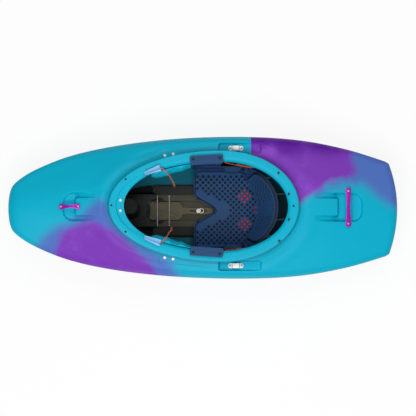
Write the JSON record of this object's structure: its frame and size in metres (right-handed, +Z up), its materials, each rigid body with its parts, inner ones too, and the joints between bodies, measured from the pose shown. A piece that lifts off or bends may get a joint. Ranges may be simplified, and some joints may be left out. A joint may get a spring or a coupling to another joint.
{
  "type": "whitewater kayak",
  "caption": "Short planing whitewater kayak with an oval cockpit, moulded seat and backband, sliding footrest, thigh braces, grab handles and a drain plug.",
  "frame": {"origin": "middle of the plan outline, on the flat planing bottom", "axes": "+X towards the bow, +Y towards port, +Z up out of the cockpit"},
  "size_m": [1.72, 0.6276, 0.3369],
  "materials": {
    "moulded_polyethylene": "rotomoulded polyethylene, cyan blending to violet at both ends, satin",
    "seat_plastic": "moulded navy plastic",
    "seat_padding": "perforated navy foam",
    "dark_foam": "closed-cell charcoal foam",
    "tray_dark_plastic": "moulded black plastic",
    "tray_plastic": "moulded taupe plastic",
    "steel": "stainless",
    "anodised_aluminium": "magenta anodised",
    "cleat_plastic": "pale blue moulded plastic",
    "orange_cord": "braided cord",
    "black_cord": "sheathed elastic"
  },
  "bodies": {
    "boat": {"hull_shell": "moulded_polyethylene", "seat_pan": "seat_plastic", "seat_hanger_left": "seat_plastic", "seat_hanger_right": "seat_plastic", "seat_pad": "seat_padding", "hip_pad_left": "seat_padding", "hip_pad_right": "seat_padding", "floor_foam_left": "dark_foam", "floor_foam_right": "dark_foam", "bow_pillar": "dark_foam", "stern_pillar": "dark_foam", "tray_front_plate": "tray_dark_plastic", "drain_seat": "tray_dark_plastic", "floor_tray": "tray_plastic", "thigh_brace_bolt_1_left": "steel", "thigh_brace_bolt_1_right": "steel", "thigh_brace_bolt_2_left": "steel", "thigh_brace_bolt_2_right": "steel", "hanger_screw_1_left": "steel", "hanger_screw_1_right": "steel", "hanger_screw_2_left": "steel", "hanger_screw_2_right": "steel", "backband_pivot_left": "steel", "backband_pivot_right": "steel", "tray_rod_front": "steel", "tray_rod_rear": "steel", "shelf_bolt_left": "steel", "shelf_bolt_right": "steel", "security_bar_left": "steel", "security_bar_right": "steel", "security_bar_screw_front_left": "steel", "security_bar_screw_front_right": "steel", "security_bar_screw_rear_left": "steel", "security_bar_screw_rear_right": "steel", "bow_handle_screw_1": "steel", "bow_handle_screw_2": "steel", "stern_handle_screw_1": "steel", "stern_handle_screw_2": "steel", "bow_handle": "anodised_aluminium", "stern_handle": "anodised_aluminium", "cord_cleat_left": "cleat_plastic", "cord_cleat_right": "cleat_plastic", "cord_tail_left": "orange_cord", "cord_tail_right": "orange_cord", "backband_cord_left": "orange_cord", "backband_cord_right": "orange_cord", "backband_elastic_1_left": "black_cord", "backband_elastic_1_right": "black_cord", "backband_elastic_2_left": "black_cord", "backband_elastic_2_right": "black_cord"},
    "backband": {"backband_plate": "seat_plastic", "backband_pad": "seat_padding"},
    "footrest": {"footrest_slider": "tray_plastic", "footrest_frame": "tray_plastic", "footrest_plate_left": "dark_foam", "footrest_plate_right": "dark_foam"},
    "adjuster": {"adjuster_screw": "steel"},
    "thigh_brace_left": {"thigh_brace_left": "moulded_polyethylene"},
    "thigh_brace_right": {"thigh_brace_right": "moulded_polyethylene"},
    "drain_plug": {"drain_plug": "tray_dark_plastic"}
  },
  "joints": [
    {"name": "backband_tilt", "type": "hinge", "parent": "boat", "child": "backband", "pos_m": [-0.192, 0, 0.15], "axis": [0, 1, 0], "range_deg": [-10, 12], "deforming": ["backband_cord_left", "backband_cord_right", "backband_elastic_1_left", "backband_elastic_1_right", "backband_elastic_2_left", "backband_elastic_2_right"]},
    {"name": "footrest_slide", "type": "slide", "parent": "boat", "child": "footrest", "axis": [1, 0, 0], "range_m": [-0.035, 0.035]},
    {"name": "adjuster_turn", "type": "hinge", "parent": "boat", "child": "adjuster", "pos_m": [0.02, 0, 0.016], "axis": [0, 0, 1], "continuous": true},
    {"name": "thigh_brace_left_slide", "type": "slide", "parent": "boat", "child": "thigh_brace_left", "axis": [0.9651, -0.2606, 0.027], "range_m": [-0.01, 0.01]},
    {"name": "thigh_brace_right_slide", "type": "slide", "parent": "boat", "child": "thigh_brace_right", "axis": [0.9651, 0.2606, 0.027], "range_m": [-0.01, 0.01]},
    {"name": "drain_plug_pull", "type": "slide", "parent": "boat", "child": "drain_plug", "axis": [-0.8244, 0, -0.5659], "range_m": [0, 0.02]}
  ]
}
